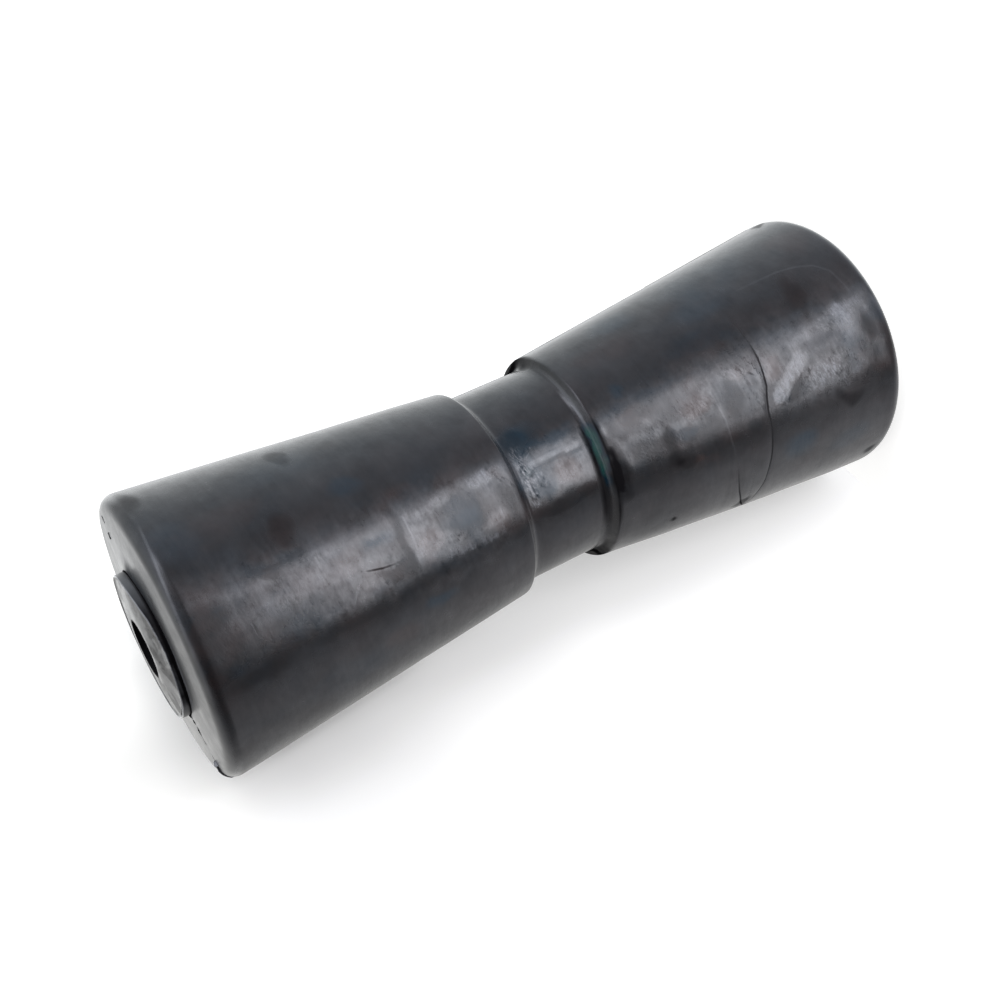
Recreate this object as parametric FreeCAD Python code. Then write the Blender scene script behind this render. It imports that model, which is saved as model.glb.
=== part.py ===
"""Keel roller for a boat trailer, moulded in one piece of black rubber.

Two cones widen from a stepped-down waist to rounded ends, and a round hub boss stands on each
end face around one plain bore. The roller stands on its end: the axis is Z, the origin is the
middle of the lower boss, and the mould's parting plane is XZ. All lengths are in millimetres.
"""

import FreeCAD, Part
import math
import os

from FreeCAD import Vector

# Lengths along the axis
face_span = 288.0  # from the edge of one end face to the edge of the other
waist_length = 36.6  # from one shoulder edge to the other
face_crown = 1.6  # the end face rises this far from its edge to the boss
boss_rim_height = 4.6  # the boss's edge, above the edge of the end face
boss_height = 6.0  # the flat land round the bore, so the boss is crowned too

# Diameters
end_diameter = 105.8  # the cone run out to the end face, before its edge is rounded
shoulder_diameter = 80.6
waist_diameter = 73.0
boss_diameter = 53.6
land_diameter = 27.0
bore_diameter = 20.0

# Slopes, roundings and chamfers
step_draft = 30.0  # degrees that the step leans away from square, to leave the mould
step_cove = 3.0
shoulder_rounding = 1.2
end_rounding = 5.0
boss_rim_chamfer = 0.5

# Flash that the mould left in its parting plane
ridge_height = 0.25  # how far the parting ridge stands proud of the rubber
ridge_thickness = 0.6
web_thickness = 0.9  # the triangular webs left in the lower step
web_run = 5.6  # along the waist
tag_thickness = 0.7  # the torn tags on the upper end
root_tag_rise = 1.0  # up the boss
root_tag_run = 3.6  # out along the end face

# The tag torn off round the edge of the upper end, as (outwards, up) from the corner where the
# cone would meet the end face. Its first and last two points are sunk in the rubber.
torn_outline = [(-8.4, -0.5), (-7.5, 1.2), (-5.2, 1.2), (-2.9, 0.2), (-1.7, -0.7), (-0.6, -2.1), (-1.1, -4.0), (-5.9, -4.0)]

overall_length = face_span + 2 * boss_height
middle = overall_length / 2
face_half = face_span / 2
waist_half = waist_length / 2
end_radius = end_diameter / 2
shoulder_radius = shoulder_diameter / 2
waist_radius = waist_diameter / 2
boss_radius = boss_diameter / 2
land_radius = land_diameter / 2
bore_radius = bore_diameter / 2
step_height = shoulder_radius - waist_radius
step_run = step_height * math.tan(math.radians(step_draft))

# A rounding may take this share of the shorter wall beside its corner
WALL_SHARE = 0.49


def barrel_corners():
    """Corners of the upper half's outer line, from the waist to the end face: (radius, height, rounding)."""
    return [
        (waist_radius, waist_half - step_run, step_cove),
        (shoulder_radius, waist_half, shoulder_rounding),
        (end_radius, face_half, end_rounding),
    ]


def boss_corners():
    """Corners of the upper boss, from its foot on the end face to the mouth of the bore."""
    rim = face_half + boss_rim_height
    top = face_half + boss_height
    return [
        (boss_radius, face_half + face_crown, 0),
        (boss_radius, rim - boss_rim_chamfer, 0),
        (boss_radius - boss_rim_chamfer, rim, 0),
        (land_radius, top, 0),
        (bore_radius, top, 0),
    ]


def with_lower_half(corners):
    """The corners, then the same ones below the middle plane in the order that goes on round."""
    return corners + [(radius, -height, rounding) for radius, height, rounding in reversed(corners)]


def to_point(radius, height):
    return Vector(radius, 0, middle + height)


def corner_arc(before, corner, after, rounding):
    """Start, crown and end of the arc that is tangent to both walls of a corner."""
    back = before - corner
    ahead = after - corner
    wall = min(back.Length, ahead.Length)
    back.normalize()
    ahead.normalize()
    half_angle = back.getAngle(ahead) / 2
    setback = min(rounding / math.tan(half_angle), WALL_SHARE * wall)
    radius = setback * math.tan(half_angle)
    bisector = back + ahead
    bisector.normalize()
    crown = corner + bisector * (radius / math.sin(half_angle) - radius)
    return corner + back * setback, crown, corner + ahead * setback


def rounded_loop(corners):
    """A closed wire through the corners, with an arc at each one that has a rounding."""
    points = [to_point(radius, height) for radius, height, rounding in corners]
    stops = []
    for i, (radius, height, rounding) in enumerate(corners):
        following = points[(i + 1) % len(points)]
        if rounding > 0:
            stops.append(corner_arc(points[i - 1], points[i], following, rounding))
        else:
            stops.append((points[i],))
    edges = []
    for i, stop in enumerate(stops):
        if len(stop) == 3:
            edges.append(Part.Arc(*stop).toShape())
        edges.append(Part.LineSegment(stop[-1], stops[(i + 1) % len(stops)][0]).toShape())
    return Part.Wire(edges)


def turned(shape, degrees):
    """A copy of the shape, turned about the axis."""
    copy = shape.copy()
    copy.rotate(Vector(0, 0, 0), Vector(0, 0, 1), degrees)
    return copy


def roller_body():
    """The outline turned about the axis in quarters, which mesh lighter than one full turn.

    The wall of the bore is the inner side of the outline.
    """
    outline = rounded_loop(with_lower_half(barrel_corners() + boss_corners()))
    quarter = Part.Face(outline).revolve(Vector(0, 0, 0), Vector(0, 0, 1), 90)
    return [turned(quarter, degrees) for degrees in (-45, 45, 135, 225)]


def plate(face, thickness):
    """A flat plate in the parting plane, half its thickness on each side."""
    return face.extrude(Vector(0, thickness, 0)).translated(Vector(0, -thickness / 2, 0))


def flat_face(points):
    return Part.Face(Part.makePolygon([to_point(*point) for point in points + points[:1]]))


def parting_ridge():
    """The thin line of flash over the waist, steps, cones and end faces, up to the bosses."""
    inside_rubber = (bore_radius + boss_radius) / 2
    corners = barrel_corners() + [(boss_radius, face_half + face_crown, 0), (inside_rubber, face_half, 0)]
    line = Part.Face(rounded_loop(with_lower_half(corners)))
    return plate(line.makeOffset2D(ridge_height), ridge_thickness)


def corner_web(radius, height, rise, run, thickness):
    """A triangle of flash in an inner corner: it rises along the axis, runs outwards and has a sunk back."""
    sink = thickness
    face = flat_face([
        (radius - sink, height + rise),
        (radius, height + rise),
        (radius + run, height),
        (radius + run, height - sink),
        (radius - sink, height - sink),
    ])
    return plate(face, thickness)


def step_web():
    """Fills the corner between the waist and the lower step."""
    return corner_web(waist_radius, -waist_half, web_run, step_height, web_thickness)


def root_tag():
    """Lies at the foot of the upper boss."""
    return corner_web(boss_radius, face_half + face_crown, root_tag_rise, root_tag_run, tag_thickness)


def end_tag():
    """Stands round the rounded edge of the upper end."""
    points = [(end_radius + outwards, face_half + up) for outwards, up in torn_outline]
    return plate(flat_face(points), tag_thickness)


def keel_roller():
    both_sides = [parting_ridge(), step_web()]
    torn_side = [root_tag(), end_tag()]
    flash = both_sides + [turned(shape, 180) for shape in both_sides + torn_side]
    quarters = roller_body()
    return quarters[0].multiFuse(quarters[1:] + flash)


roller = keel_roller()
box = roller.optimalBoundingBox(False, False)
print("solids", len(roller.Solids), "valid", roller.isValid())
print("size %.2f x %.2f x %.2f mm" % (box.XLength, box.YLength, box.ZLength))
print("lowest %.3f mm, volume %.1f cm3" % (box.ZMin, roller.Volume / 1000))

os.makedirs("parts", exist_ok=True)
roller.Solids[0].exportStep("parts/keel_roller.step")
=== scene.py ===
# %% [markdown]
# # A keel roller for a boat trailer
#
# The roller is one moulding of black rubber. Two cones widen from a stepped waist to rounded ends,
# and a hub boss with a plain bore stands on each end. Here it stands on its end, with the bore
# along Z. This lesson models the rubber again with all its small marks, and gives it a finish.
#
# The first step loads the solid, whose box the finished rubber must not leave.

import math

import bmesh
import bpy
import numpy as np
from mathutils import Matrix, Vector, noise


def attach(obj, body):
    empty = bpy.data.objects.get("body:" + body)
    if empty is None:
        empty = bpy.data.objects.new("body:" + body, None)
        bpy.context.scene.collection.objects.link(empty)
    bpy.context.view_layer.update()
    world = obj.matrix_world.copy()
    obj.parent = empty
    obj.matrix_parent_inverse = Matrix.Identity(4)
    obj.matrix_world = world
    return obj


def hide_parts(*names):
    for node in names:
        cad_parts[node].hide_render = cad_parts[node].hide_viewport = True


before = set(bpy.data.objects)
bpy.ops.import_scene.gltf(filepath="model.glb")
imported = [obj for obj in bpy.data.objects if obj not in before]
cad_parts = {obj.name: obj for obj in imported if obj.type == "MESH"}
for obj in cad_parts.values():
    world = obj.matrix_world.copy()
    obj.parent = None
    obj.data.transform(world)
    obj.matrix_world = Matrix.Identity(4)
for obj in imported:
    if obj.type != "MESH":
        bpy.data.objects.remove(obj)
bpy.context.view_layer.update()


MM = 0.001

# %% [markdown]
# ## The camera
#
# The photograph was taken from beyond the end that is the upper one here, with the roller lying
# on a table. A camera that sees the standing roller in the same way has to roll over on its side.
# Its focal length and its centre in the picture were fitted to the roller's outlines, so they are
# given in pixels of the 1000 pixel picture. A camera is aimed by the direction that it looks in,
# then rolled about that direction.

# %% Camera
PICTURE_SIDE = 1000.0
FOCAL_LENGTH_PX = 1375.9
CENTRE_PX = (479.7, 514.6)
CAMERA_PLACE = Vector((0.0, -0.4773, 0.3499))
CAMERA_AIM = Vector((-0.0070, 0.0, 0.1701))
CAMERA_ROLL = math.radians(115.1)


def add_camera():
    bpy.ops.object.camera_add(location=CAMERA_PLACE)
    camera = bpy.context.object
    camera.name = "photo_camera"
    level = (CAMERA_AIM - CAMERA_PLACE).to_track_quat("-Z", "Y").to_matrix()
    turn = level @ Matrix.Rotation(-CAMERA_ROLL, 3, "Z")
    camera.rotation_euler = turn.to_euler()
    lens = camera.data
    lens.lens = FOCAL_LENGTH_PX / PICTURE_SIDE * lens.sensor_width
    lens.shift_x = 0.5 - CENTRE_PX[0] / PICTURE_SIDE
    lens.shift_y = CENTRE_PX[1] / PICTURE_SIDE - 0.5
    lens.clip_start = 0.01
    bpy.context.scene.camera = camera
    return camera


camera = add_camera()
print("lens in mm:", round(camera.data.lens, 2))

# %% [markdown]
# ## The outline, corner by corner
#
# Everything round on the roller comes from one closed line in the plane of the axis, so the
# rubber is modelled as on a lathe: draw the line, round its corners, then spin it. The line is
# given as corners, each with its distance from the axis, its height above the middle of the
# roller and its rounding. The lower half has nearly the same corners, and is turned over.
#
# The end face rises a little from its edge to the boss, and the boss from its rim to the bore.
# A fine bead runs round the upper boss's rim with a groove inside it, where the mould's core met
# its plate.

# %% Sizes of the outline in millimetres
# Height of the middle above the lower boss, and heights above the middle
MIDDLE = 150.0
FACE_HALF = 144.0
FACE_TOP = FACE_HALF + 1.6
LAND_TOP = FACE_HALF + 6.0
# Distances from the axis
BORE = 10.0
LAND = 13.5
RIM_GROOVE = 25.7
RIM_BEAD = 26.4
BOSS = 26.8
WAIST = 36.5
# Corners that come up more than once
STEP_FOOT = (WAIST, 16.11, 3.0)
SHOULDER = (40.3, 18.3, 1.2)
CONE_EDGE = (52.9, FACE_HALF, 5.0)
BOSS_FOOT = (BOSS, FACE_TOP, 0.0)
LAND_EDGE = (LAND, LAND_TOP, 3.0)
MOUTH = (BORE, LAND_TOP, 0.2)


def on_cone(height):
    """The corner that the cone's wall passes through at a height above the middle."""
    share = (height - SHOULDER[1]) / (CONE_EDGE[1] - SHOULDER[1])
    return (SHOULDER[0] + share * (CONE_EDGE[0] - SHOULDER[0]), height, 0.0)


def turned_over(corners):
    """The corners of a half on the other side of the middle, in the order that goes on round."""
    return [(radius, -height, rounding) for radius, height, rounding in reversed(corners)]


UPPER_RIM = [
    (BOSS, FACE_HALF + 4.4, 0.0),
    (RIM_BEAD, FACE_HALF + 4.9, 0.25),
    (RIM_GROOVE, FACE_HALF + 4.5, 0.0),
]
LOWER_RIM = [(BOSS, FACE_HALF + 4.1, 0.0), (26.3, FACE_HALF + 4.6, 0.0)]
UPPER_HALF = [STEP_FOOT, SHOULDER, on_cone(62.0), on_cone(68.0), CONE_EDGE, BOSS_FOOT]
UPPER_HALF += UPPER_RIM + [LAND_EDGE, MOUTH]
LOWER_HALF = [STEP_FOOT, SHOULDER, on_cone(61.0), on_cone(90.0), CONE_EDGE, BOSS_FOOT]
LOWER_HALF += LOWER_RIM + [LAND_EDGE, MOUTH]
OUTLINE = UPPER_HALF + turned_over(LOWER_HALF)


print("corners:", len(OUTLINE))

# %% [markdown]
# ## Drawing a line with operators
#
# A line of corners starts as a single point, which is a small plane merged at its centre, and
# grows by extruding the last point to the next corner. The same two helpers also draw the
# outlines of the thin flash later.

# %% Helpers to draw and select
def first_point(name, place):
    bpy.ops.mesh.primitive_plane_add(size=MM)
    piece = bpy.context.object
    piece.name = name
    bpy.ops.object.mode_set(mode="EDIT")
    bpy.ops.mesh.select_all(action="SELECT")
    bpy.ops.mesh.merge(type="CENTER")
    bpy.ops.transform.translate(value=place)
    return piece


def extrude_through(places):
    for start, end in zip(places, places[1:]):
        bpy.ops.mesh.extrude_region_move(TRANSFORM_OT_translate={"value": end - start})


def select_points(piece, places):
    """Selects the points nearest to the given places, in edit mode."""
    bpy.ops.mesh.select_all(action="DESELECT")
    mesh = bmesh.from_edit_mesh(piece.data)
    for place in places:
        min(mesh.verts, key=lambda point: (point.co - place).length).select = True
    mesh.select_flush_mode()
    bmesh.update_edit_mesh(piece.data)


def close_line(piece, places):
    select_points(piece, [places[0], places[-1]])
    bpy.ops.mesh.edge_face_add()


# %% [markdown]
# ## Rounding the corners
#
# A corner is rounded by a bevel of its point. The bevel wants to know how far from the corner
# the arc begins, which follows from the radius and the angle between the two walls.

# %% Draw the outline and round it
ARC_STEP = math.radians(13)


def round_corner(piece, before, corner, after, radius):
    half_angle = (before - corner).angle(after - corner) / 2
    setback = radius / math.tan(half_angle)
    arc = math.pi - 2 * half_angle
    select_points(piece, [corner])
    bpy.ops.mesh.bevel(
        offset_type="OFFSET",
        offset=setback,
        segments=max(2, round(arc / ARC_STEP)),
        affect="VERTICES",
        clamp_overlap=False,
    )


def draw_rounded(name, corners):
    places = [Vector((radius, 0.0, MIDDLE + height)) * MM for radius, height, _ in corners]
    piece = first_point(name, places[0])
    extrude_through(places)
    close_line(piece, places)
    for i, (_, _, rounding) in enumerate(corners):
        if rounding > 0:
            after = places[(i + 1) % len(places)]
            round_corner(piece, places[i - 1], places[i], after, rounding * MM)
    return piece


rubber = draw_rounded("roller_rubber", OUTLINE)
print("points on the rounded line:", len(bmesh.from_edit_mesh(rubber.data).verts))

# %% [markdown]
# ## Rows close enough for small marks
#
# The long straight stretches are cut into short ones, because marks a millimetre wide will be
# pressed into them. Two stretches are cut finer: the one on the lower cone that holds a crack and
# a crease, and the one on the upper cone where the mould's ring shows.

# %% Cut the long edges
ROW_PITCH = 1.5
FINE_PITCH = 0.7
BORE_PITCH = 12.0


def row_pitch(middle):
    """How long the short edges are to be, in millimetres, by the middle of the long edge."""
    radius, height = middle.x / MM, middle.z / MM - MIDDLE
    if radius < BORE + 0.5:
        return BORE_PITCH
    if -90 < height < -61 or 62 < height < 68:
        return FINE_PITCH
    return ROW_PITCH


def cut_long_edges(piece):
    mesh = bmesh.from_edit_mesh(piece.data)
    jobs = []
    for edge in mesh.edges:
        middle = (edge.verts[0].co + edge.verts[1].co) / 2
        cuts = round(edge.calc_length() / (row_pitch(middle) * MM)) - 1
        if cuts > 0:
            jobs.append((middle, cuts))
    for middle, cuts in jobs:
        bpy.ops.mesh.select_all(action="DESELECT")
        mesh = bmesh.from_edit_mesh(piece.data)
        edge = min(mesh.edges, key=lambda e: ((e.verts[0].co + e.verts[1].co) / 2 - middle).length)
        edge.select_set(True)
        bmesh.update_edit_mesh(piece.data)
        bpy.ops.mesh.subdivide(number_cuts=cuts)


cut_long_edges(rubber)
print("rows:", len(bmesh.from_edit_mesh(rubber.data).verts))

# %% [markdown]
# ## The spin
#
# One full turn makes the body. The last column lands on the first, so doubles are merged, and a
# spun shape can come out inside out, so its normals are worked out again.

# %% Spin the outline round the axis
COLUMNS = 280
MERGE_BELOW = 0.002

bpy.ops.mesh.select_all(action="SELECT")
bpy.ops.mesh.spin(steps=COLUMNS, angle=math.tau, center=(0, 0, 0), axis=(0, 0, 1))
bpy.ops.mesh.select_all(action="SELECT")
bpy.ops.mesh.remove_doubles(threshold=MERGE_BELOW * MM)
bpy.ops.mesh.normals_make_consistent(inside=False)
bpy.ops.object.mode_set(mode="OBJECT")
print("faces after the spin:", len(rubber.data.polygons))

# %% [markdown]
# ## Marks pressed into the rubber
#
# No moulding is as true as a lathe would make it. The marks are written as functions of a place
# on the roller: its height, and its turn about the axis in degrees, which is 0 on the camera's
# side and grows towards the lower edge of the picture. What they do to the shape comes first, as
# a lift in millimetres along the normals, which is below zero where the rubber is pressed in.
#
# A crack runs half round the lower cone and a fainter crease comes down to meet it. Two rings
# show where inserts of the mould met. The skin is a little uneven all over, and the side that the
# roller lay on is fuller than the circle.

# %% Marks as functions of height and turn
# Lines as turn in degrees, height in millimetres, strength
CRACK = [
    (-26, 64.3, 0.0), (-10, 63.6, 0.4), (-3, 63.4, 0.8), (4, 63.9, 1.0), (10, 64.4, 1.0),
    (14, 65.5, 1.0), (21, 66.5, 1.0), (28, 66.3, 0.9), (44, 66.5, 0.8), (61, 67.1, 0.5),
    (80, 69.9, 0.4), (98, 65.9, 0.4), (130, 66.0, 0.0),
]
CREASE = [
    (40, 82.0, 0.0), (52, 80.5, 0.35), (62, 78.5, 0.8), (75, 74.5, 1.0), (84, 70.2, 1.0),
    (90, 68.0, 0.0),
]
FOLD = [(8.8, 232, 0.0), (9.8, 229.5, 0.8), (11.2, 225, 0.7), (11.7, 221, 0.2), (12, 217, 0.0)]
SEAM = [(-2, 86.6, 0.0), (3, 86.1, 0.25), (17, 84.3, 0.35), (28, 83.6, 0.25), (40, 82.0, 0.0)]
# Line, half width and lift in millimetres
GROOVES = [(CRACK, 0.9, -0.13), (CREASE, 1.0, -0.10), (SEAM, 1.2, 0.04), (FOLD, 1.0, -0.06)]
# Height and turn, half height, half width and lift in millimetres
SWELLS = [
    (38, 33, 24, 12, 0.5), (88, 33, 20, 12, 0.25), (236, 32, 24, 12, 0.35), (150, 8, 14, 8, -0.05),
    (177, -18, 14, 8, 0.12),
]
# Size of the waves and lift in millimetres
WAVES = [(30.0, 0.10), (10.0, 0.035)]
MM_PER_DEGREE = 0.82
RING_HEIGHTS = (85.3, 215.0)
RING_DEPTH = 0.04
RING_WIDTH = 1.3
SKIN_MARGIN = 0.05
FULLER_HEIGHTS = [0, 10, 25, 60, 105, 125, 150, 200, 280, 294, 300]
FULLER_BY = [0.2, 0.2, 0.8, 1.1, 0.9, 0.45, 0.4, 0.4, 0.27, 0.2, 0.2]


def points_of(piece):
    """Every point of the piece as an array of x, y, z in millimetres."""
    places = np.empty(len(piece.data.vertices) * 3)
    piece.data.vertices.foreach_get("co", places)
    return places.reshape(-1, 3) / MM


def move_points(piece, places):
    piece.data.vertices.foreach_set("co", (places * MM).ravel())
    piece.data.update()


def turn_of(places):
    return np.degrees(np.arctan2(-places[:, 0], -places[:, 1]))


def soft_step(value, low, high):
    share = np.clip((value - low) / (high - low), 0.0, 1.0)
    return share * share * (3.0 - 2.0 * share)


def hump(distance, width):
    return np.exp(-((distance / width) ** 2))


def uneven(places, size, seed):
    """Gentle noise of about -1 to 1, with waves of about the given size in millimetres."""
    shift = Vector((seed * 17.0, seed * 5.0, seed * 11.0))
    return np.array([noise.noise(Vector(place) / size + shift) for place in places])


def beside(line, turn, height):
    """How far places are from a line in millimetres, and the line's strength there.

    The distance has a sign for the side of the line.
    """
    nearest = np.full(len(turn), 999.0)
    strength = np.zeros(len(turn))
    for start, end in zip(line, line[1:]):
        (turn_a, height_a, strength_a), (turn_b, height_b, strength_b) = start, end
        across, up = (turn_b - turn_a) * MM_PER_DEGREE, height_b - height_a
        from_across, from_up = (turn - turn_a) * MM_PER_DEGREE, height - height_a
        share = np.clip((from_across * across + from_up * up) / (across**2 + up**2), 0.0, 1.0)
        far = np.hypot(from_across - share * across, from_up - share * up)
        side = np.where(across * from_up > up * from_across, 1.0, -1.0)
        closer = far < abs(nearest)
        nearest = np.where(closer, side * far, nearest)
        strength = np.where(closer, strength_a + share * (strength_b - strength_a), strength)
    return nearest, strength


def groove(line, width, turn, height):
    far, strength = beside(line, turn, height)
    return strength * hump(far, width)


def mark_lifts(places):
    """How far every point moves out along its normal, in millimetres."""
    turn, height = turn_of(places), places[:, 2]
    off_axis = np.hypot(places[:, 0], places[:, 1])
    skin = soft_step(off_axis, BORE + 0.5, BORE + 4.0)
    lift = sum(by * groove(line, width, turn, height) for line, width, by in GROOVES)
    lift -= sum(RING_DEPTH * hump(height - ring, RING_WIDTH) for ring in RING_HEIGHTS)
    for at_height, at_turn, tall, wide, by in SWELLS:
        beyond = (turn - at_turn) * MM_PER_DEGREE
        lift += by * hump(height - at_height, tall) * hump(beyond, wide)
    for seed, (size, by) in enumerate(WAVES, 1):
        lift += skin * by * uneven(places, size, seed)
    lain_on = soft_step(turn, 50, 84) * soft_step(-turn, -150, -110) * soft_step(off_axis, 30, 36)
    return lift - SKIN_MARGIN * skin + lain_on * np.interp(height, FULLER_HEIGHTS, FULLER_BY)


def press_marks(piece):
    places = points_of(piece)
    normals = np.empty(len(places) * 3)
    piece.data.vertex_normals.foreach_get("vector", normals)
    lifts = mark_lifts(places)
    move_points(piece, places + normals.reshape(-1, 3) * lifts[:, None])
    return lifts


lifts = press_marks(rubber)
print("marks from %.2f to %.2f mm" % (lifts.min(), lifts.max()))

# %% [markdown]
# ## An end that isn't quite square
#
# The rim of the upper boss isn't level: it stands high on one side and low in the middle of the
# camera's side, and the end face rises and falls round its foot. This is what proportional
# editing does by hand: points move together, less and less with distance. A list of turns and a
# list of lifts say how much the rim and the foot move all the way round.

# %% Bend the upper end
RIM_TURNS = [-180, -120, -85, -57, -42, -28, -17, -3, 9, 23, 37, 53, 67, 90, 130, 180]
RIM_LIFTS = [
    0.1, 0.3, 0.75, 0.95, 0.75, 0.25, -0.45, -0.8, -1.1, -0.8, -0.55, -0.45, 0.0, 0.2, 0.1, 0.1,
]
FOOT_TURNS = [-180, -115, -77, -55, -42, -31, -20, 0, 13, 22, 60, 90, 130, 180]
FOOT_LIFTS = [0.0, 0.0, 0.3, 0.6, 0.45, 0.3, 0.2, 0.0, 0.0, 0.2, 0.25, 0.1, 0.0, 0.0]
SWOLLEN = 0.3
SWOLLEN_RADIUS = 39.0
# What stays free above and below, so that the rubber keeps inside the solid's box
FREE = 0.01


def bend_upper_end(piece):
    """Moves the rim, the foot and the end face of the upper end, and returns the new places."""
    places = points_of(piece)
    x, y, height = places.T
    off_axis = np.hypot(x, y)
    near_side = np.clip(-y / np.maximum(off_axis, 1.0), 0.0, 1.0) * (height > 293.0)
    on_rim = soft_step(height, 296.0, 298.0)
    on_boss = np.clip((off_axis - LAND) / (BOSS - LAND), 0.0, 1.0)
    places[:, 2] += on_rim * on_boss * np.interp(turn_of(places), RIM_TURNS, RIM_LIFTS)
    at_foot = (1.0 - soft_step(off_axis, BOSS, 34.0)) * (1.0 - soft_step(height, 295.7, 296.8))
    at_foot *= (off_axis > 26.0) * (height > 293.0)
    places[:, 2] += at_foot * np.interp(turn_of(places), FOOT_TURNS, FOOT_LIFTS)
    places[:, 2] += SWOLLEN * near_side * hump(off_axis - SWOLLEN_RADIUS, 5.5)
    places[:, 2] = np.clip(places[:, 2], FREE, 2 * MIDDLE - FREE)
    move_points(piece, places)
    return places


bent = bend_upper_end(rubber)
print("heights from %.2f to %.2f mm" % (bent[:, 2].min(), bent[:, 2].max()))

# %% [markdown]
# ## Flash
#
# Rubber creeps into the gap where the mould's halves meet, and leaves thin webs that are torn off
# by hand. What is left shows as a fine ridge along both sides, two black triangles in the corners
# of the lower step, a torn crescent round the edge of the upper end, and threads on the end face.
# Each is a thin plate: its outline is drawn, filled and extruded by its thickness.

# %% Thin plates in the parting plane
def thicken(plate, thickness):
    """Fills the outline of a plate in the plane of X and Z, and makes it thick to both sides."""
    bpy.ops.mesh.select_all(action="SELECT")
    bpy.ops.mesh.edge_face_add()
    across = Vector((0.0, thickness, 0.0)) * MM
    bpy.ops.transform.translate(value=-across / 2)
    bpy.ops.mesh.extrude_region_move(TRANSFORM_OT_translate={"value": across})
    bpy.ops.mesh.select_all(action="SELECT")
    bpy.ops.mesh.normals_make_consistent(inside=False)
    bpy.ops.object.mode_set(mode="OBJECT")
    return plate


def add_flash(name, corners, thickness, side):
    """A plate with corners (out from the axis, height) on one side of the axis, 1 or -1."""
    places = [Vector((side * out, 0.0, height)) * MM for out, height in corners]
    plate = first_point(name, places[0])
    extrude_through(places)
    return thicken(plate, thickness)


RIDGE_PROUD = 0.13
RIDGE_THICKNESS = 0.35
RIDGE_CORNERS = [(WAIST, 16.0, 3.0), SHOULDER, CONE_EDGE, (31.0, FACE_HALF - 0.5, 0.0)]


def add_ridge(name, side):
    """The fine ridge along the waist, steps and cones of one side. It dips under the end faces."""
    corners = [
        (radius + RIDGE_PROUD, height + RIDGE_PROUD, rounding)
        for radius, height, rounding in RIDGE_CORNERS
    ]
    ridge = draw_rounded(name, corners + turned_over(corners))
    bpy.ops.mesh.select_all(action="SELECT")
    if side < 0:
        bpy.ops.transform.rotate(value=math.pi, orient_axis="Z", center_override=(0, 0, 0))
    return thicken(ridge, RIDGE_THICKNESS)


WEB = [
    (35.5, 138.2), (36.6, 137.4), (37.2, 135.6), (38.2, 134.2), (39.4, 132.4), (40.2, 131.9),
    (39.6, 130.9), (35.5, 130.9),
]
CRESCENT = [
    (43.8, 293.8), (44.7, 295.4), (46.0, 295.7), (46.9, 295.1), (48.4, 295.1), (50.0, 294.4),
    (51.2, 293.4), (52.2, 292.1), (52.5, 290.4), (52.4, 288.6), (51.0, 288.6), (47.0, 290.0),
]
FACE_THREAD = [
    (25.5, 295.2), (26.6, 296.2), (27.4, 296.1), (28.4, 295.6), (29.7, 295.7), (31.0, 295.3),
    (33.0, 295.5), (35.5, 295.2), (38.0, 295.1), (40.0, 294.7), (42.5, 294.8), (44.8, 294.7),
    (45.2, 293.4), (27.0, 293.4),
]
OUTER_NICK = [(44.2, 294.65), (46.9, 294.5), (47.2, 293.6), (44.0, 293.8)]
INNER_NICK = [(38.4, 295.15), (40.8, 295.0), (41.0, 294.0), (38.2, 294.2)]

flash = [
    add_ridge("ridge_upper", 1),
    add_ridge("ridge_lower", -1),
    add_flash("web_upper", WEB, 0.9, 1),
    add_flash("web_lower", WEB, 0.9, -1),
    add_flash("crescent", CRESCENT, 0.8, -1),
    add_flash("face_thread", FACE_THREAD, 0.5, -1),
    add_flash("outer_nick", OUTER_NICK, 0.5, 1),
    add_flash("inner_nick", INNER_NICK, 0.5, 1),
]
print("flash plates:", len(flash))

# %% [markdown]
# The plates and the roller are one moulding, so they are joined. Faces that meet at a small angle
# are shaded smooth, which leaves the rims and the flash crisp. The piece is hung on the root body,
# and the solid that it replaces is hidden.

# %% Join the flash to the rubber
SMOOTH_BELOW = math.radians(38)

bpy.ops.object.select_all(action="DESELECT")
for plate in flash:
    plate.select_set(True)
rubber.select_set(True)
bpy.context.view_layer.objects.active = rubber
bpy.ops.object.join()
bpy.ops.object.shade_smooth_by_angle(angle=SMOOTH_BELOW)
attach(rubber, "root")
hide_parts("keel_roller")
print("triangles:", sum(len(face.vertices) - 2 for face in rubber.data.polygons))
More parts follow.
